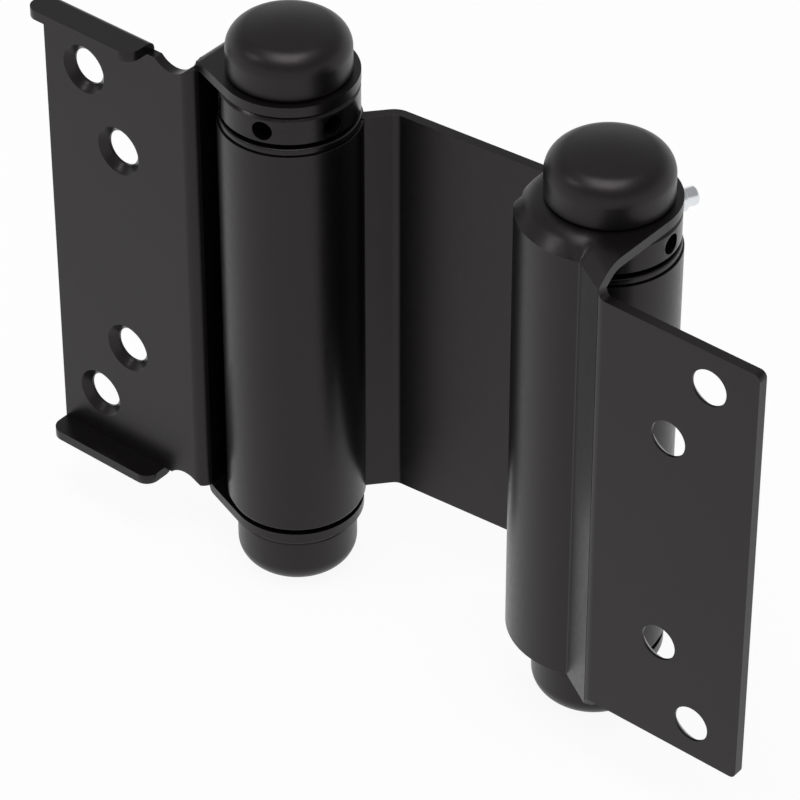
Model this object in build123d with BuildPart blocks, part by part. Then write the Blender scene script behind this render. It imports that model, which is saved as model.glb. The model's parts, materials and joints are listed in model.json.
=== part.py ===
from build123d import *
from math import atan2, cos, degrees, radians, sin
import os

os.makedirs("parts", exist_ok=True)

# Driving dimensions in millimetres and degrees
sheet = 1.5
hinge_height = 75.0
barrel_radius = 10.0
axis_spacing = 51.0
plate_turn = 5.0

# Centre plate: how the web leaves each barrel
web_bend_clearance = 1.4
web_bend_radius = 2.5
root_angle = 36.0
seam_gap = 0.4

# Both leaves
stack_gap = 0.4
screw_hole_radius = 2.7
countersink_radius = 3.8
countersink_angle = 90.0
screw_row_spacing = 11.1
ear_ring_inset = 0.3

# Tabbed leaf
tabbed_leaf_reach = 38.0
tabbed_edge_to_outer_screw = 7.3
screw_column_spacing = 5.9
wall_gap = 0.6
wall_end_angle = 140.0
wall_fold_radius = 1.25
wall_ear_bend = 2.0
tab_length = 19.5
tab_depth = 5.1
tab_corner_radius = 2.0
tab_bend_radius = 1.2
relief_radius = 3.6
relief_depth = 1.2
relief_to_tab = 0.5

# Plain leaf
plain_leaf_reach = 35.2
plain_flat_setback = 3.7
plain_edge_to_outer_screw = 7.6
plain_end_to_outer_screw = 5.5
joggle_depth = 2.6
plain_fold_radius = 2.2
plain_corner_radius = 1.0
plain_notch_radius = 1.2
shield_gap = 0.9
shield_start_angle = 212.0
shield_crease_angle = 290.0
draw_slope = 2.5
draw_radius = 4.0
crease_radius = 0.5

# Spindles, caps and the pieces stacked on them
spindle_radius = 3.0
press_clearance = 0.02
running_clearance = 0.05
axial_play = 0.2
cap_inset = 1.35
top_cap_height = 7.4
bottom_cap_height = 8.7
cap_shoulder_radius = 3.4
cap_crown_angle = 12.0
cap_socket_depth = 4.2
cap_edge_break = 0.3
spacer_inset = 1.1
spacer_thickness = 1.0
ring_inset = 0.25
ring_bore_clearance = 0.1
ring_thickness = 1.1
collar_inset = 0.35
collar_height = 4.8
collar_spigot_length = 6.0
collar_hole_count = 6
collar_hole_radius = 1.45
collar_hole_depth = 4.6
collar_edge_break = 0.6
plug_thickness = 1.4
plug_spigot_length = 6.0
plug_edge_break = 0.6

# Torsion springs
wire_radius = 1.2
spring_bore_clearance = 1.3
coil_pitch = 2.65
spring_end_gap = 0.3
spring_leg_length = 3.0
spring_leg_clearance = 0.1

# Tension pins and the hole that each one stands in
pin_radius = 1.35
pin_shoulder_radius = 1.75
pin_shoulder_gap = 0.3
pin_shoulder_length = 1.0
pin_head_length = 1.9
pin_seated_length = 3.6
pin_edge_break = 0.25
first_hole_angle = {"a": -12.0, "b": 5.0}
pin_angle = {"a": 108.0, "b": 65.0}

# Levels and places that follow from the driving dimensions
ear_outside = hinge_height / 2
ear_inside = ear_outside - sheet
collar_top = ear_inside - axial_play
collar_bottom = collar_top - collar_height
barrel_top = collar_bottom - axial_play - ring_thickness
plug_bottom = -ear_inside + axial_play
barrel_bottom = plug_bottom + plug_thickness
barrel_height = barrel_top - barrel_bottom
barrel_bore = barrel_radius - sheet
barrel_middle = barrel_radius - sheet / 2
ear_ring_radius = barrel_radius - ear_ring_inset
collar_radius = barrel_radius - collar_inset
ring_radius = barrel_radius - ring_inset
cap_radius = barrel_radius - cap_inset
spacer_radius = barrel_radius - spacer_inset
spring_mean_radius = barrel_bore - spring_bore_clearance - wire_radius
plain_flat_height = hinge_height - 2 * plain_flat_setback
outer_screw_height = plain_flat_height / 2 - plain_end_to_outer_screw
inner_screw_height = outer_screw_height - screw_row_spacing
tabbed_wood_face = barrel_radius - 2 * sheet - stack_gap


def on_circle(radius, angle):
    return Vector(cos(radians(angle)), sin(radians(angle))) * radius


# The origin lies on the tabbed leaf's wood face, midway between its outer screw holes
tabbed_edge_x = -tabbed_edge_to_outer_screw
axis_a = Vector(tabbed_edge_x + tabbed_leaf_reach, tabbed_wood_face)
plate_direction = on_circle(1, plate_turn)
axis_b = axis_a + plate_direction * axis_spacing
spindle_axes = {"a": axis_a, "b": axis_b}


def level(axis, height):
    """Horizontal plane at a height, centred on a spindle axis."""
    return Plane((axis.X, axis.Y, height))


def spindle_line(axis):
    return Axis((axis.X, axis.Y, 0), (0, 0, 1))


def export_piece(piece, name):
    piece.part.label = name
    export_step(piece.part, "parts/" + name + ".step")


# Centre plate: one sheet rolled into a barrel at each end
plate_plane = Plane((axis_a.X, axis_a.Y, 0), x_dir=(plate_direction.X, plate_direction.Y, 0), z_dir=(0, 0, 1))
web_bend_distance = barrel_radius + web_bend_clearance
bend_a = Vector(web_bend_distance, barrel_middle)
bend_b = Vector(axis_spacing - web_bend_distance, barrel_middle)
root_a = on_circle(barrel_middle, root_angle)
root_b = Vector(axis_spacing - root_a.X, root_a.Y)
seam_angle = root_angle - degrees((sheet + seam_gap) / 2 / barrel_middle)

with BuildPart() as centre_plate:
    with BuildSketch(plate_plane.offset(barrel_bottom)):
        with BuildLine():
            FilletPolyline(root_a, bend_a, bend_b, root_b, radius=web_bend_radius)
        trace(line_width=sheet)
        with Locations((0, 0), (axis_spacing, 0)):
            Circle(barrel_radius)
        with Locations((0, 0), (axis_spacing, 0)):
            Circle(barrel_bore, mode=Mode.SUBTRACT)
        with PolarLocations(barrel_middle, 1, start_angle=seam_angle):
            Rectangle(2 * sheet, seam_gap, mode=Mode.SUBTRACT)
        with Locations((axis_spacing, 0)):
            with PolarLocations(barrel_middle, 1, start_angle=180 - seam_angle):
                Rectangle(2 * sheet, seam_gap, mode=Mode.SUBTRACT)
    extrude(amount=barrel_height)
export_piece(centre_plate, "centre_plate")

# Tabbed leaf: ears and wall drawn round the barrel, flat with a tab at top and bottom
wall_inner = barrel_radius + wall_gap
wall_outer = wall_inner + sheet
wall_middle = wall_inner + sheet / 2
fold_end_y = -(tabbed_wood_face + sheet / 2) + wall_fold_radius


def rims(faces, height):
    """The edges of upright faces that lie at a height above or below the middle."""
    return [edge for face in faces for edge in face.edges() if abs(abs(edge.center().Z) - height) < 0.01]


def is_round(face, radius):
    return face.geom_type == GeomType.CYLINDER and abs(face.radius - radius) < 0.01


def faces_along(faces, direction):
    """The flat faces whose outward side points along a direction."""
    flat_faces = [face for face in faces if face.geom_type == GeomType.PLANE]
    return [face for face in flat_faces if face.normal_at().dot(direction) > 0.999]


with BuildPart() as tabbed_leaf:
    with BuildSketch(level(axis_a, -ear_outside)):
        Circle(ear_ring_radius)
        with BuildLine():
            Line((-wall_outer, fold_end_y), (-wall_outer, 0))
            CenterArc((0, 0), wall_outer, 180, wall_end_angle - 180)
        make_hull()
    extrude(amount=hinge_height)
    upright_faces = tabbed_leaf.faces().filter_by(Axis.Z, reverse=True)
    wall_faces = faces_along(upright_faces, Vector(-1, 0, 0))
    wall_faces += [face for face in upright_faces if is_round(face, wall_outer)]
    fillet(rims(wall_faces, ear_outside), wall_ear_bend)
    upright_faces = tabbed_leaf.faces().filter_by(lambda face: abs(face.normal_at().Z) < 0.01)
    open_faces = [f for f in upright_faces if is_round(f, ear_ring_radius)]
    open_faces += [f for f in upright_faces if f.geom_type == GeomType.PLANE and f.normal_at().X > -0.99]
    offset(amount=-sheet, openings=open_faces)
    with BuildSketch(Plane.XY.offset(-ear_inside)):
        with BuildLine():
            FilletPolyline(
                (tabbed_edge_x, -sheet / 2),
                (axis_a.X - wall_middle, -sheet / 2),
                (axis_a.X - wall_middle, -sheet / 2 + 2 * wall_fold_radius),
                radius=wall_fold_radius,
            )
        trace(line_width=sheet)
    extrude(amount=2 * ear_inside)
    for tab_level in (ear_inside, -ear_outside):
        with BuildSketch(Plane.XY.offset(tab_level)) as tab_outline:
            with Locations((tabbed_edge_x, 0)):
                Rectangle(tab_length, tab_depth, align=(Align.MIN, Align.MAX))
            fillet(tab_outline.vertices().group_by(Axis.Y)[0], tab_corner_radius)
        extrude(amount=sheet)
    tab_rims = tabbed_leaf.edges().filter_by(lambda edge: abs(abs(edge.center().Z) - ear_outside) < 0.01)
    fillet(tab_rims.filter_by(Axis.X).filter_by_position(Axis.Y, -0.01, 0.01), tab_bend_radius)
    relief_x = tabbed_edge_x + tab_length + relief_to_tab + relief_radius
    relief_z = ear_inside - relief_depth + relief_radius
    with Locations(*[Plane((relief_x, 0, z), z_dir=(0, 1, 0)) for z in (relief_z, -relief_z)]):
        Hole(relief_radius, sheet)
    screw_places = [(0, outer_screw_height), (0, -outer_screw_height)]
    screw_places += [(screw_column_spacing, inner_screw_height), (screw_column_spacing, -inner_screw_height)]
    with Locations(*[Plane((x, -sheet, z), z_dir=(0, -1, 0)) for x, z in screw_places]):
        CounterSinkHole(screw_hole_radius, countersink_radius, sheet, countersink_angle)
    with Locations(level(axis_a, 0)):
        Hole(spindle_radius + press_clearance, hinge_height)
export_piece(tabbed_leaf, "tabbed_leaf")

# Plain leaf: a shield drawn round the barrel, a joggle and a flat
shield_outer = barrel_radius + shield_gap + sheet
plain_leaf_offset = shield_outer + joggle_depth
clear_of_leaf = 2 * barrel_radius
tip_direction = on_circle(1, shield_start_angle)
crease = on_circle(shield_outer, shield_crease_angle)
plain_fold = Vector(barrel_radius, -plain_leaf_offset)
joggle = (plain_fold - crease).normalized()
joggle_normal = Vector(-joggle.Y, joggle.X)


def drawn_block(inset):
    """Solid bounded by the shield and the joggle, shrunk by an inset, with sloped and rounded rims."""
    radius = shield_outer - inset
    line_point = plain_fold + joggle_normal * inset
    distance_along = line_point.dot(joggle)
    distance_off = (line_point - joggle * distance_along).length
    corner = line_point + joggle * ((radius**2 - distance_off**2) ** 0.5 - distance_along)
    corner_angle = degrees(atan2(corner.Y, corner.X))
    half_height = ear_outside - inset
    with BuildPart() as block:
        with BuildSketch(level(axis_b, -half_height)) as outline:
            with BuildLine():
                Line((-radius, clear_of_leaf), (-radius, 0))
                CenterArc((0, 0), radius, 180, corner_angle + 180)
                Polyline(corner, line_point + joggle * clear_of_leaf, (clear_of_leaf, clear_of_leaf),
                         (-radius, clear_of_leaf))
            make_face()
            fillet(outline.vertices().sort_by_distance(corner)[0], crease_radius + inset)
        extrude(amount=2 * half_height)
        upright_faces = block.faces().filter_by(Axis.Z, reverse=True)
        drawn_faces = faces_along(upright_faces, -joggle_normal)
        drawn_faces += faces_along(upright_faces, Vector(-1, 0, 0))
        drawn_faces += [face for face in upright_faces if face.geom_type == GeomType.CYLINDER]
        slope = draw_slope - inset * (2 - 2**0.5)
        chamfer(rims(drawn_faces, half_height), slope)
        slope_faces = block.faces().filter_by(lambda face: 0.1 < abs(face.normal_at().Z) < 0.9)
        fillet(rims(slope_faces, half_height), draw_radius - inset)
    return block.part


# Middle line of the sheet from the joggle to the flat
plain_middle_y = -plain_leaf_offset + sheet / 2
joggle_middle = (crease + plain_fold) / 2 + joggle_normal * (sheet / 2)
fold_middle = joggle_middle + joggle * ((plain_middle_y - joggle_middle.Y) / joggle.Y)
plain_screw_x = axis_b.X + plain_leaf_reach - plain_edge_to_outer_screw
plain_inner_y = axis_b.Y - plain_leaf_offset + sheet

with BuildPart() as plain_leaf:
    add(drawn_block(0))
    add(drawn_block(sheet), mode=Mode.SUBTRACT)
    with BuildSketch(level(axis_b, -ear_outside)):
        Circle(ear_ring_radius)
        Polygon(
            (-ear_ring_radius, 0),
            tip_direction * shield_outer,
            tip_direction * clear_of_leaf,
            (ear_ring_radius, -clear_of_leaf),
            (ear_ring_radius, 0),
            align=None,
        )
    extrude(amount=hinge_height, mode=Mode.INTERSECT)
    with BuildSketch(level(axis_b, -ear_inside)):
        Polygon(
            tip_direction * (barrel_radius / 2),
            tip_direction * clear_of_leaf,
            (-clear_of_leaf, 0),
            (-ear_ring_radius, 0),
            align=None,
        )
    extrude(amount=2 * ear_inside, mode=Mode.SUBTRACT)
    with BuildSketch(level(axis_b, -plain_flat_height / 2)) as folded_strip:
        with BuildLine():
            FilletPolyline(joggle_middle, fold_middle, (plain_leaf_reach, plain_middle_y),
                           radius=plain_fold_radius)
        trace(line_width=sheet)
    extrude(amount=plain_flat_height)
    with BuildSketch(level(axis_b, -plain_flat_height / 2 - plain_notch_radius)):
        add(folded_strip.sketch_local)
        with Locations((ear_ring_radius, 0)):
            Rectangle(2 * plain_notch_radius, 2 * clear_of_leaf, mode=Mode.INTERSECT)
    extrude(amount=plain_flat_height + 2 * plain_notch_radius)
    notch_x = axis_b.X + ear_ring_radius + plain_notch_radius
    notch_z = plain_flat_height / 2 + plain_notch_radius
    with Locations(*[Plane((notch_x, plain_inner_y, z), z_dir=(0, 1, 0)) for z in (notch_z, -notch_z)]):
        Hole(plain_notch_radius, 2 * sheet)
    fillet(plain_leaf.edges().filter_by(Axis.Y).group_by(Axis.X)[-1], plain_corner_radius)
    with Locations(*[Plane((plain_screw_x - x, plain_inner_y, z), z_dir=(0, 1, 0)) for x, z in screw_places]):
        CounterSinkHole(screw_hole_radius, countersink_radius, sheet, countersink_angle)
    with Locations(level(axis_b, 0)):
        Hole(spindle_radius + press_clearance, hinge_height)
export_piece(plain_leaf, "plain_leaf")


# Caps: a straight skirt, a round shoulder, a gentle crown and a blind socket for the spindle
def cap_profile(height):
    """Half section of a cap standing on its rim, in the plane of the sketch."""
    crown_half = radians(cap_crown_angle)
    shoulder_x = cap_radius - cap_shoulder_radius
    crown_sphere = (shoulder_x + cap_shoulder_radius * sin(crown_half)) / sin(crown_half)
    crown_centre = height - crown_sphere
    shoulder_y = crown_centre + (crown_sphere - cap_shoulder_radius) * cos(crown_half)
    with BuildSketch(Plane.XY) as profile:
        with BuildLine():
            Polyline((0, height), (0, 0), (cap_radius - cap_edge_break, 0), (cap_radius, cap_edge_break),
                     (cap_radius, shoulder_y))
            CenterArc((shoulder_x, shoulder_y), cap_shoulder_radius, 0, 90 - cap_crown_angle)
            CenterArc((0, crown_centre), crown_sphere, 90 - cap_crown_angle, cap_crown_angle)
        make_face()
        with Locations((0, 0)):
            Rectangle(spindle_radius + press_clearance, cap_socket_depth, align=(Align.MIN, Align.MIN),
                      mode=Mode.SUBTRACT)
    return profile.sketch


# Close coil round the world's Z axis, whose two legs stand in a plug and a collar
coil_bottom = barrel_bottom + plug_spigot_length + spring_end_gap + wire_radius
coil_top = collar_bottom - collar_spigot_length - spring_end_gap - wire_radius
coil_height = coil_top - coil_bottom
spring_turns = round(coil_height / coil_pitch)
with BuildPart() as wound_coil:
    with BuildLine():
        coil = Helix(coil_height / spring_turns, coil_height, spring_mean_radius, center=(0, 0, coil_bottom))
    with BuildSketch(Plane(coil @ 0, z_dir=coil % 0)):
        Circle(wire_radius)
    sweep(is_frenet=True)
    for leg_start, leg_length in ((coil @ 0, -spring_leg_length), (coil @ 1, spring_leg_length)):
        with BuildSketch(Plane(leg_start)):
            Circle(wire_radius)
        extrude(amount=leg_length)
        with Locations(leg_start):
            Sphere(wire_radius)

# The pieces that stand on each spindle
for side, axis in spindle_axes.items():
    with BuildPart() as top_cap:
        with BuildSketch(Plane((axis.X, axis.Y, ear_outside), x_dir=(1, 0, 0), z_dir=(0, -1, 0))):
            add(cap_profile(top_cap_height))
        revolve(axis=spindle_line(axis))
    export_piece(top_cap, "top_cap_" + side)

    with BuildPart() as bottom_cap:
        rim_level = -ear_outside - spacer_thickness
        with BuildSketch(Plane((axis.X, axis.Y, rim_level), x_dir=(1, 0, 0), z_dir=(0, 1, 0))):
            add(cap_profile(bottom_cap_height))
        revolve(axis=spindle_line(axis))
    export_piece(bottom_cap, "bottom_cap_" + side)

    # Spacer ring between the lower ear and the bottom cap
    with BuildPart() as cap_spacer:
        with BuildSketch(level(axis, rim_level)):
            Circle(spacer_radius)
            Circle(spindle_radius + press_clearance, mode=Mode.SUBTRACT)
        extrude(amount=spacer_thickness)
    export_piece(cap_spacer, "cap_spacer_" + side)

    # Spindle through both ears, its ends pressed into the caps
    spindle_bottom = rim_level - cap_socket_depth + axial_play
    spindle_top = ear_outside + cap_socket_depth - axial_play
    with BuildPart() as spindle:
        with BuildSketch(level(axis, spindle_bottom)):
            Circle(spindle_radius)
        extrude(amount=spindle_top - spindle_bottom)
        chamfer(spindle.edges().filter_by(GeomType.CIRCLE), cap_edge_break)
    export_piece(spindle, "spindle_" + side)

    # Tension collar: ring of pin holes under the upper ear, spigot turning in the barrel
    hole_level = (collar_top + collar_bottom) / 2
    leg_reach = spring_leg_length + spring_leg_clearance
    with BuildPart() as tension_collar:
        with BuildSketch(level(axis, collar_bottom)):
            Circle(collar_radius)
        extrude(amount=collar_top - collar_bottom)
        chamfer(tension_collar.edges().filter_by(GeomType.CIRCLE), collar_edge_break)
        with BuildSketch(level(axis, collar_bottom - collar_spigot_length)):
            Circle(barrel_bore - running_clearance)
        extrude(amount=collar_spigot_length + collar_edge_break)
        with Locations(level(axis, 0)):
            Hole(spindle_radius + running_clearance, hinge_height)
        for hole in range(collar_hole_count):
            hole_angle = first_hole_angle[side] + hole * 360 / collar_hole_count
            outward = on_circle(1, hole_angle)
            mouth = axis + outward * collar_radius
            with Locations(Plane((mouth.X, mouth.Y, hole_level), z_dir=(outward.X, outward.Y, 0))):
                Hole(collar_hole_radius, collar_hole_depth)
        with BuildSketch(level(axis, collar_bottom - collar_spigot_length)):
            with Locations((spring_mean_radius, 0)):
                Circle(wire_radius + spring_leg_clearance)
        extrude(amount=leg_reach, mode=Mode.SUBTRACT)
    export_piece(tension_collar, "tension_collar_" + side)

    # Thin ring lying on the barrel's upper end
    with BuildPart() as barrel_ring:
        with BuildSketch(level(axis, barrel_top)):
            Circle(ring_radius)
            Circle(barrel_bore + ring_bore_clearance, mode=Mode.SUBTRACT)
        extrude(amount=ring_thickness)
    export_piece(barrel_ring, "barrel_ring_" + side)

    # Bottom plug: flange under the barrel, spigot pressed into its bore
    with BuildPart() as bottom_plug:
        with BuildSketch(level(axis, plug_bottom)):
            Circle(collar_radius)
        extrude(amount=barrel_bottom - plug_bottom)
        chamfer(bottom_plug.edges().group_by(Axis.Z)[0], plug_edge_break)
        with BuildSketch(level(axis, barrel_bottom)):
            Circle(barrel_bore - press_clearance)
        extrude(amount=plug_spigot_length)
        with Locations(level(axis, 0)):
            Hole(spindle_radius + running_clearance, hinge_height)
        with BuildSketch(level(axis, barrel_bottom + plug_spigot_length)):
            with Locations((spring_mean_radius, 0)):
                Circle(wire_radius + spring_leg_clearance)
        extrude(amount=-leg_reach, mode=Mode.SUBTRACT)
    export_piece(bottom_plug, "bottom_plug_" + side)

    # Torsion spring: the wound coil, placed in this barrel
    with BuildPart() as torsion_spring:
        with Locations(level(axis, 0)):
            add(wound_coil)
    export_piece(torsion_spring, "torsion_spring_" + side)

    # Tension pin: plain shank in the collar hole, shoulder and short head outside
    outward = on_circle(1, pin_angle[side])
    pin_foot = axis + outward * (collar_radius - pin_seated_length)
    shoulder_start = axis + outward * (collar_radius + pin_shoulder_gap)
    pin_direction = (outward.X, outward.Y, 0)
    with BuildPart() as tension_pin:
        with BuildSketch(Plane((pin_foot.X, pin_foot.Y, hole_level), z_dir=pin_direction)):
            Circle(pin_radius)
        extrude(amount=pin_seated_length + pin_shoulder_gap + pin_shoulder_length + pin_head_length)
        chamfer(tension_pin.edges().filter_by(GeomType.CIRCLE), pin_edge_break)
        with BuildSketch(Plane((shoulder_start.X, shoulder_start.Y, hole_level), z_dir=pin_direction)):
            Circle(pin_shoulder_radius)
        extrude(amount=pin_shoulder_length)
    export_piece(tension_pin, "tension_pin_" + side)
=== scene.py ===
"""Double action cafe hinge: finishes, round edges, wound springs, studio and camera."""

import json
import math

import bmesh
import bpy
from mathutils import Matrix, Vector


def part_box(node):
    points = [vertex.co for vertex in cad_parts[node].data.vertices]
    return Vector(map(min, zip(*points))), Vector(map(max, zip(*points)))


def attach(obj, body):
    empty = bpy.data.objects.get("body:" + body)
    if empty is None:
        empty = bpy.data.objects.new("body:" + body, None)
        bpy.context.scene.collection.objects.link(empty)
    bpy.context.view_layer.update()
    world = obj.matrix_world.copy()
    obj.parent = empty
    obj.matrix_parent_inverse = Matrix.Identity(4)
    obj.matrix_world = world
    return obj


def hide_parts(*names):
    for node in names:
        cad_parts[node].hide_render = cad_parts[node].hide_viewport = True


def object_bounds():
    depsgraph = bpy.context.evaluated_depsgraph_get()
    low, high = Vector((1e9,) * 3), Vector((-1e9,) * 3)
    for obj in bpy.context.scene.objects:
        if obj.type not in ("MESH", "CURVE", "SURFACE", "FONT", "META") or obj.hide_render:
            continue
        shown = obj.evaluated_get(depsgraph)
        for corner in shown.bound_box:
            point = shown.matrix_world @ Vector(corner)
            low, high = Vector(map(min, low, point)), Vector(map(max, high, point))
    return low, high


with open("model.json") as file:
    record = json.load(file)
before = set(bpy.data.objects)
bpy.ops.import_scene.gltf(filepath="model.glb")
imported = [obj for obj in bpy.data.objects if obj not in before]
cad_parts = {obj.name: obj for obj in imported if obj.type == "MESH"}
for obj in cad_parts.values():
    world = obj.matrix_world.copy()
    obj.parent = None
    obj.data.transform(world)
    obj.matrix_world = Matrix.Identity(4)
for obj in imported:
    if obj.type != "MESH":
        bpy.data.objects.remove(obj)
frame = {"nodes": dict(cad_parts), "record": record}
cad_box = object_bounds()
record = frame["record"]

MM = 0.001
SIDES = ("a", "b")
body_of = {node: body for body, members in record["behaviour"]["bodies"].items() for node in members}


# Node trees

# Socket numbers of a Mix node, which has its own pair of values for each data type
MIX_FACTOR = 0
MIX_FLOAT_A = 2
MIX_FLOAT_B = 3
MIX_FLOAT_RESULT = 0
MIX_COLOUR_A = 6
MIX_COLOUR_B = 7
MIX_COLOUR_RESULT = 2


def linear(hex_colour):
    """An sRGB hex colour as linear RGBA, by the curve of the sRGB standard."""
    levels = [int(hex_colour[i:i + 2], 16) / 255 for i in (1, 3, 5)]
    return [v / 12.92 if v <= 0.04045 else ((v + 0.055) / 1.055) ** 2.4 for v in levels] + [1.0]


def add_node(tree, kind, settings=(), inputs=()):
    """A node with its settings, and its inputs set to values or linked to other sockets."""
    node = tree.nodes.new(kind)
    for name, value in dict(settings).items():
        setattr(node, name, value)
    for key, value in dict(inputs).items():
        if isinstance(value, bpy.types.NodeSocket):
            tree.links.new(value, node.inputs[key])
        else:
            node.inputs[key].default_value = value
    return node


def combined(tree, operation, first, second):
    """The result of a Math node on two values or sockets."""
    return add_node(tree, "ShaderNodeMath", {"operation": operation}, {0: first, 1: second}).outputs[0]


def empty_tree(owner):
    """The node tree of a material or world, cleared."""
    owner.use_nodes = True
    owner.node_tree.nodes.clear()
    return owner.node_tree


# Finishes

mottle_noise = {"Detail": 3.0, "Roughness": 0.55}
grain_noise = {"Detail": 2.0, "Roughness": 0.5}
# The part of the grain's 0 to 1 that is spread over the finish's whole range of gloss
grain_low = 0.3
grain_high = 0.7


def per_mm(size):
    """Noise scale whose features are about this many millimetres apart."""
    return 1 / (size * MM)


def grained_finish(name, dark, light, mottle, grain, grain_height, roughness, spread,
                   stretch=(1, 1, 1), **constants):
    """A finish with a slow mottle of two colours and a grain that moves its relief and its gloss.

    Mottle, grain and grain height are in millimetres; constants are the shader's own sockets.
    """
    material = bpy.data.materials.new(name)
    tree = empty_tree(material)
    place = add_node(tree, "ShaderNodeTexCoord").outputs["Object"]
    along = add_node(tree, "ShaderNodeMapping", inputs={
        "Vector": place, "Scale": stretch}).outputs["Vector"]
    patches = add_node(tree, "ShaderNodeTexNoise", inputs={
        "Vector": place, "Scale": per_mm(mottle), **mottle_noise}).outputs["Fac"]
    bumps = add_node(tree, "ShaderNodeTexNoise", inputs={
        "Vector": along, "Scale": per_mm(grain), **grain_noise}).outputs["Fac"]
    colour = add_node(tree, "ShaderNodeMix", {"data_type": "RGBA"}, {
        MIX_FACTOR: patches, MIX_COLOUR_A: linear(dark),
        MIX_COLOUR_B: linear(light)}).outputs[MIX_COLOUR_RESULT]
    gloss = add_node(tree, "ShaderNodeMapRange", inputs={
        "Value": bumps, "From Min": grain_low, "From Max": grain_high,
        "To Min": roughness - spread, "To Max": roughness + spread}).outputs["Result"]
    relief = add_node(tree, "ShaderNodeBump", inputs={
        "Height": bumps, "Strength": 1.0, "Distance": grain_height * MM}).outputs["Normal"]
    shader = add_node(tree, "ShaderNodeBsdfPrincipled", inputs={
        "Base Color": colour, "Roughness": gloss, "Normal": relief, **constants})
    add_node(tree, "ShaderNodeOutputMaterial", inputs={"Surface": shader.outputs["BSDF"]})
    return material


# Gloss of the three black coats: its level and faint pink tint are matched to the photo, not measured
coat_gloss = {"IOR": 1.5, "Specular IOR Level": 0.34, "Specular Tint": linear("#fff6f8")}

# Powder coat on the sheet: near black, satin, with a faint orange peel that softens reflections
powder_coated_sheet = grained_finish(
    "satin_black_powder_coat_on_drawn_steel", "#070607", "#0e0c0d", mottle=9, grain=0.8,
    grain_height=0.004, roughness=0.31, spread=0.03, **coat_gloss)
# The coat on the caps: a little duller, with a finer grain
powder_coated_cap = grained_finish(
    "matt_black_powder_coat_on_drawn_steel_caps", "#080708", "#0f0d0e", mottle=6, grain=0.45,
    grain_height=0.004, roughness=0.36, spread=0.03, **coat_gloss)
# Thin paint on the rings: glossier, with turning marks that run round them
painted_ring = grained_finish(
    "black_electrophoretic_paint_on_turned_steel", "#050505", "#0b0a0b", mottle=4, grain=0.5,
    grain_height=0.002, roughness=0.26, spread=0.04, stretch=(0.25, 0.25, 3), **coat_gloss)
# Bare turned steel, its turning marks running round the spindle
turned_steel = grained_finish(
    "turned_carbon_steel", "#8f9092", "#a9aaac", mottle=5, grain=0.25, grain_height=0.002,
    roughness=0.32, spread=0.06, stretch=(0.3, 0.3, 3), Metallic=1.0)
# Spring wire under a grey phosphate skin
phosphated_wire = grained_finish(
    "phosphated_spring_wire", "#4b4b4c", "#626263", mottle=3, grain=0.3, grain_height=0.004,
    roughness=0.42, spread=0.08, Metallic=1.0)
# Bright zinc plate: clear, slightly blue metal with fine patches
zinc_plate = grained_finish(
    "bright_zinc_plate_on_steel", "#d6d9de", "#eceef1", mottle=2, grain=0.35, grain_height=0.001,
    roughness=0.13, spread=0.03, Metallic=1.0)

# Finish and material slot of each kind of piece
dressing = {
    "centre_plate": (powder_coated_sheet, "black_sheet"),
    "tabbed_leaf": (powder_coated_sheet, "black_sheet"),
    "plain_leaf": (powder_coated_sheet, "black_sheet"),
    "top_cap": (powder_coated_cap, "black_cap"),
    "bottom_cap": (powder_coated_cap, "black_cap"),
    "cap_spacer": (painted_ring, "black_ring"),
    "tension_collar": (painted_ring, "black_ring"),
    "barrel_ring": (painted_ring, "black_ring"),
    "bottom_plug": (painted_ring, "black_ring"),
    "spindle": (turned_steel, "turned_steel"),
    "torsion_spring": (phosphated_wire, "spring_wire"),
    "tension_pin": (zinc_plate, "zinc_pin"),
}


def kind_of(node):
    """A node's name without its side."""
    return node[:-2] if node[-2:] in ("_a", "_b") else node


def show(obj):
    """The object, linked to the scene."""
    bpy.context.scene.collection.objects.link(obj)
    return obj


def as_plain_mesh(obj):
    """The object's modifiers worked into its mesh and taken off."""
    bpy.context.view_layer.update()
    worked = bpy.data.meshes.new_from_object(obj.evaluated_get(bpy.context.evaluated_depsgraph_get()))
    obj.modifiers.clear()
    obj.data = worked
    return worked


def dress(obj, node):
    """The object stands for a node, on its body."""
    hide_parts(node)
    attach(obj, body_of[node])


# Softened pieces: the frame's shapes with the small round edges that a coat leaves

# Corners this close, in metres, are one; faces that meet at less than the flat angle are one face
same_corner = 1e-6
flat_angle = math.radians(0.2)
# Edges that turn by more than this are rounded
sharp_angle = math.radians(28)
rounding_segments = 3
# How far large faces outweigh small ones in the shading of the edges between them: 50 is neutral
large_face_weight = 90

# Radius of each kind's round edges, in millimetres
edge_radius = {
    "centre_plate": 0.35,
    "tabbed_leaf": 0.42,
    "plain_leaf": 0.42,
    "top_cap": 0.2,
    "bottom_cap": 0.2,
    "cap_spacer": 0.25,
    "tension_collar": 0.15,
    "barrel_ring": 0.25,
    "bottom_plug": 0.15,
    "tension_pin": 0.12,
}


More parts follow.
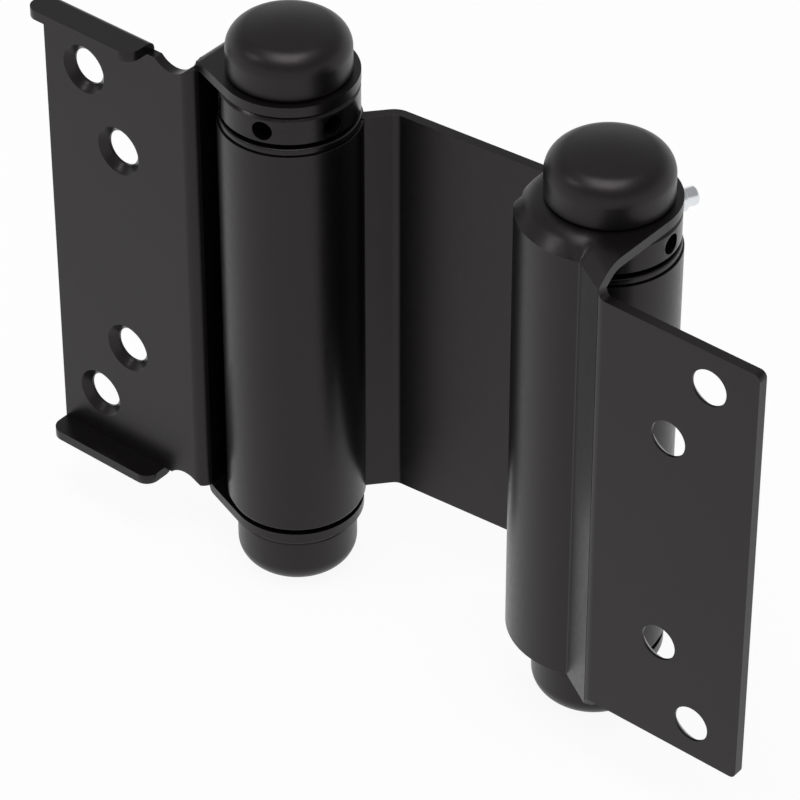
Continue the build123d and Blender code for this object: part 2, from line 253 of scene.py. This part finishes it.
def softened(node, radius, material):
    """A copy of a node with every sharp edge rounded, in the node's place and on its body."""
    shape = bmesh.new()
    shape.from_mesh(frame["nodes"][node].data)
    bmesh.ops.remove_doubles(shape, verts=shape.verts, dist=same_corner)
    bmesh.ops.dissolve_limit(shape, angle_limit=flat_angle, verts=shape.verts, edges=shape.edges)
    mesh = bpy.data.meshes.new(node + "_coated")
    shape.to_mesh(mesh)
    shape.free()
    mesh.materials.append(material)
    piece = show(bpy.data.objects.new(node + "_coated", mesh))
    rounding = piece.modifiers.new("round_edges", "BEVEL")
    rounding.width = radius * MM
    rounding.segments = rounding_segments
    rounding.limit_method = "ANGLE"
    rounding.angle_limit = sharp_angle
    rounding.use_clamp_overlap = True
    rounding.miter_outer = "MITER_ARC"
    as_plain_mesh(piece).shade_smooth()
    piece.modifiers.new("flat_faces_stay_flat", "WEIGHTED_NORMAL").weight = large_face_weight
    as_plain_mesh(piece)
    dress(piece, node)


for node, obj in frame["nodes"].items():
    kind = kind_of(node)
    material, slot = dressing[kind]
    if kind in edge_radius:
        softened(node, edge_radius[kind], material)
    for holder in obj.material_slots:
        holder.material = material


# Torsion springs: round wire wound from plug to collar, with a straight leg at each end

# The CAD's own number of turns, and its own sizes in millimetres
spring_turns = 19
coil_radius = 6.0
wire_radius = 1.2
leg_length = 3.0
# Facets of the wire, round it and along it
section_points = 16
steps_per_turn = 48

# Kind and value of each size that winds a spring; the last two are set for each spring
spring_sockets = {
    "Coil Radius": ("NodeSocketFloat", coil_radius * MM),
    "Wire Radius": ("NodeSocketFloat", wire_radius * MM),
    "Turns": ("NodeSocketFloat", float(spring_turns)),
    "Leg Length": ("NodeSocketFloat", leg_length * MM),
    "Steps Per Turn": ("NodeSocketInt", steps_per_turn),
    "Coil Height": ("NodeSocketFloat", 0.0),
    "Start": ("NodeSocketVector", (0, 0, 0)),
}


def spring_tree(material):
    """Geometry nodes that wind a coil with a leg at each end, and the identifiers of their sizes."""
    tree = bpy.data.node_groups.new("wound_spring", "GeometryNodeTree")
    identifiers = {}
    for name, (kind, value) in spring_sockets.items():
        socket = tree.interface.new_socket(name, in_out="INPUT", socket_type=kind)
        socket.default_value = value
        identifiers[name] = socket.identifier
    tree.interface.new_socket("Geometry", in_out="OUTPUT", socket_type="NodeSocketGeometry")
    sizes = tree.nodes.new("NodeGroupInput").outputs

    def beside_axis(z):
        """The point at height z, one coil radius from the axis, where both legs stand."""
        return add_node(tree, "ShaderNodeCombineXYZ", inputs={
            "X": sizes["Coil Radius"], "Z": z}).outputs[0]

    def leg(start, end):
        """A straight run of wire between two heights."""
        return add_node(tree, "GeometryNodeCurvePrimitiveLine", inputs={
            "Start": beside_axis(start), "End": beside_axis(end)}).outputs["Curve"]

    coil = add_node(tree, "GeometryNodeCurveSpiral", inputs={
        "Resolution": sizes["Steps Per Turn"], "Rotations": sizes["Turns"],
        "Start Radius": sizes["Coil Radius"], "End Radius": sizes["Coil Radius"],
        "Height": sizes["Coil Height"]}).outputs["Curve"]
    lower_leg = leg(combined(tree, "MULTIPLY", sizes["Leg Length"], -1.0), 0.0)
    upper_end = combined(tree, "ADD", sizes["Coil Height"], sizes["Leg Length"])
    upper_leg = leg(sizes["Coil Height"], upper_end)
    section = add_node(tree, "GeometryNodeCurvePrimitiveCircle", inputs={
        "Resolution": section_points, "Radius": sizes["Wire Radius"]}).outputs["Curve"]
    wires = add_node(tree, "GeometryNodeJoinGeometry")
    for run in (coil, lower_leg, upper_leg):
        swept = add_node(tree, "GeometryNodeCurveToMesh", inputs={
            "Curve": run, "Profile Curve": section, "Fill Caps": True}).outputs["Mesh"]
        tree.links.new(swept, wires.inputs["Geometry"])
    placed = add_node(tree, "GeometryNodeTransform", inputs={
        "Geometry": wires.outputs[0], "Translation": sizes["Start"]}).outputs["Geometry"]
    smooth = add_node(tree, "GeometryNodeSetShadeSmooth", inputs={"Geometry": placed}).outputs["Geometry"]
    real = add_node(tree, "GeometryNodeRealizeInstances", inputs={"Geometry": smooth}).outputs["Geometry"]
    coloured = add_node(tree, "GeometryNodeSetMaterial", inputs={"Geometry": real, "Material": material})
    add_node(tree, "NodeGroupOutput", inputs={"Geometry": coloured.outputs["Geometry"]})
    return tree, identifiers


spring_finish, spring_slot = dressing["torsion_spring"]
wound_spring, size_identifiers = spring_tree(spring_finish)
for side in SIDES:
    node = "torsion_spring_" + side
    low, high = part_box(node)
    spring = show(bpy.data.objects.new(node + "_wound", bpy.data.meshes.new(node + "_wound")))
    winding = spring.modifiers.new("winding", "NODES")
    winding.node_group = wound_spring
    coil_bottom = low.z + leg_length * MM
    winding[size_identifiers["Coil Height"]] = high.z - low.z - 2 * leg_length * MM
    winding[size_identifiers["Start"]] = ((low.x + high.x) / 2, (low.y + high.y) / 2, coil_bottom)
    as_plain_mesh(spring)
    dress(spring, node)


# Studio: pale floor, white surroundings and two soft lamps

WHITE = linear("#ffffff")


def seen_directly(tree, *kinds):
    """1 for a camera ray or a ray of one of the other kinds named, such as Glossy, and 0 for the rest."""
    rays = add_node(tree, "ShaderNodeLightPath").outputs
    answer = rays["Is Camera Ray"]
    for kind in kinds:
        answer = combined(tree, "MAXIMUM", answer, rays[f"Is {kind} Ray"])
    return answer


# The floor takes the hinge's shadow, and glows for the rays that show it, so that it looks near white
floor_size = 6.0
floor_glow = 0.92
floor_paint = bpy.data.materials.new("pale_floor_paint")
tree = empty_tree(floor_paint)
paint = add_node(tree, "ShaderNodeBsdfDiffuse", inputs={"Color": linear("#f4f4f4")})
glow = add_node(tree, "ShaderNodeEmission", inputs={"Color": WHITE, "Strength": 1.0})
share_of_glow = combined(tree, "MULTIPLY", seen_directly(tree, "Glossy", "Transmission"), floor_glow)
mixed = add_node(tree, "ShaderNodeMixShader", inputs={
    0: share_of_glow, 1: paint.outputs[0], 2: glow.outputs[0]})
add_node(tree, "ShaderNodeOutputMaterial", inputs={"Surface": mixed.outputs[0]})

half = floor_size / 2
level = cad_box[0][2]
floor_mesh = bpy.data.meshes.new("floor")
floor_corners = [(-half, -half, level), (half, -half, level), (half, half, level), (-half, half, level)]
floor_mesh.from_pydata(floor_corners, [], [(0, 1, 2, 3)])
floor_mesh.materials.append(floor_paint)
show(bpy.data.objects.new("floor", floor_mesh))

# Surroundings: white to the camera; to all other rays a ceiling that dims from the horizon upwards
horizon_strength = 1.0
ceiling_strength = 0.4
# Heights of a ray's direction, 0 level and 1 straight up, where the dimming starts and ends
dimming_starts = 0.06
dimming_ends = 0.52
white_strength = 1.0

world = bpy.context.scene.world or bpy.data.worlds.new("studio")
bpy.context.scene.world = world
tree = empty_tree(world)
height = add_node(tree, "ShaderNodeSeparateXYZ", inputs={
    "Vector": add_node(tree, "ShaderNodeTexCoord").outputs["Generated"]}).outputs["Z"]
ceiling = add_node(tree, "ShaderNodeMapRange", {"interpolation_type": "SMOOTHSTEP"}, {
    "Value": height, "From Min": dimming_starts, "From Max": dimming_ends,
    "To Min": horizon_strength, "To Max": ceiling_strength}).outputs["Result"]
strength = add_node(tree, "ShaderNodeMix", {"data_type": "FLOAT"}, {
    MIX_FACTOR: seen_directly(tree), MIX_FLOAT_A: ceiling,
    MIX_FLOAT_B: white_strength}).outputs[MIX_FLOAT_RESULT]
surround = add_node(tree, "ShaderNodeBackground", inputs={"Color": WHITE, "Strength": strength})
add_node(tree, "ShaderNodeOutputWorld", inputs={"Surface": surround.outputs[0]})

# The point that the lamps and the camera face, between the two barrels
middle = Vector((54, 4, 0)) * MM


def direction(azimuth, elevation):
    """Unit vector at an azimuth from +X and a rise above the floor, in degrees."""
    turn, rise = math.radians(azimuth), math.radians(elevation)
    return Vector((math.cos(turn) * math.cos(rise), math.sin(turn) * math.cos(rise), math.sin(rise)))


def facing_back(away):
    """Rotation of a lamp or camera that stands in this direction and looks back along it."""
    return (-away).to_track_quat("-Z", "Y").to_euler()


def soft_box(name, azimuth, elevation, distance, size, watts):
    """A square soft box that faces the hinge."""
    lamp = bpy.data.lights.new(name, "AREA")
    lamp.size = size
    lamp.energy = watts
    away = direction(azimuth, elevation)
    box = show(bpy.data.objects.new(name, lamp))
    box.location = middle + away * distance
    box.rotation_euler = facing_back(away)


soft_box("overhead_soft_box", azimuth=-60, elevation=80, distance=0.8, size=0.5, watts=3.6)
soft_box("front_left_soft_box", azimuth=-130, elevation=42, distance=0.7, size=0.12, watts=0.35)


# Camera: place, focal length and aim come from a fit to the photo's outlines

camera_azimuth = 39.74 - 90
camera_elevation = 38.04
camera_distance = 0.600
# Sideways and upward shift of the camera along its own axes, in millimetres
camera_shift = Vector((-1.38, -4.65, 0))
focal_px = 4395
frame_px = 800
sensor_width_mm = 36
nearest_seen = 0.01
farthest_seen = 20

away = direction(camera_azimuth, camera_elevation)
lens = bpy.data.cameras.new("camera")
lens.sensor_width = sensor_width_mm
lens.lens = focal_px / frame_px * sensor_width_mm
lens.clip_start = nearest_seen
lens.clip_end = farthest_seen
camera = show(bpy.data.objects.new("camera", lens))
camera.rotation_euler = facing_back(away)
shift = (camera.rotation_euler.to_matrix() @ camera_shift) * MM
camera.location = middle + away * camera_distance + shift
bpy.context.scene.camera = camera
bpy.context.scene.view_settings.view_transform = "Standard"
